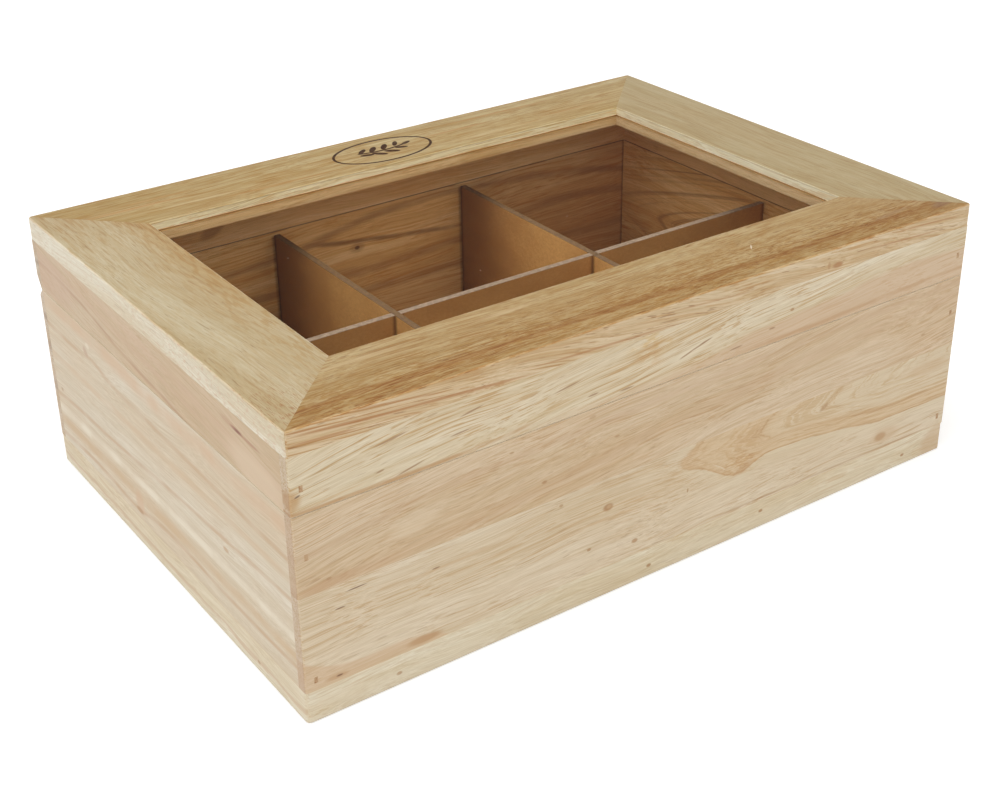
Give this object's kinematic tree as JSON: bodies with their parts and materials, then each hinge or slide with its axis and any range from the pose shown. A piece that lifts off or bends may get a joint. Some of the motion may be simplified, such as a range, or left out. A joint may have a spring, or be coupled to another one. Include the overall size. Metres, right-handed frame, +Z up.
{
  "type": "tea bag organizer box",
  "caption": "Rectangular wooden box with a grid of thin dividers and a hinged lid with a mitred frame round a clear window.",
  "frame": {"origin": "centre of the underside of the base board", "axes": "+X to the right along the front, +Y towards the hinges at the back, +Z up"},
  "size_m": [0.33, 0.23, 0.12],
  "materials": {
    "base_wood": "satin",
    "wall_wood": "satin",
    "apron_wood": "satin",
    "frame_wood": "satin",
    "divider_board": "matte",
    "window": "clear",
    "hinge_brass": "satin",
    "tinted_brad": "matte",
    "steel_brad": "satin"
  },
  "bodies": {
    "box": {"base_board": "base_wood", "front_lower_plank": "wall_wood", "front_upper_plank": "wall_wood", "back_board": "wall_wood", "left_board": "wall_wood", "right_board": "wall_wood", "long_divider": "divider_board", "left_divider": "divider_board", "right_divider": "divider_board", "box_corner_brads": "tinted_brad", "base_brads": "steel_brad", "left_hinge_lower_leaf": "hinge_brass", "right_hinge_lower_leaf": "hinge_brass", "left_hinge_pin": "hinge_brass", "right_hinge_pin": "hinge_brass", "lower_hinge_nails": "hinge_brass"},
    "lid": {"lid_front_apron": "apron_wood", "lid_back_apron": "apron_wood", "lid_left_apron": "apron_wood", "lid_right_apron": "apron_wood", "frame_front_rail": "frame_wood", "frame_back_rail": "frame_wood", "frame_left_rail": "frame_wood", "frame_right_rail": "frame_wood", "window_panel": "window", "lid_corner_brads": "tinted_brad", "left_hinge_upper_leaf": "hinge_brass", "right_hinge_upper_leaf": "hinge_brass", "upper_hinge_nails": "hinge_brass"}
  },
  "joints": [
    {"name": "lid_hinge", "type": "hinge", "parent": "box", "child": "lid", "pos_m": [0, 0.1108, 0.087], "axis": [-1, 0, 0], "range_deg": [0, 100]}
  ]
}
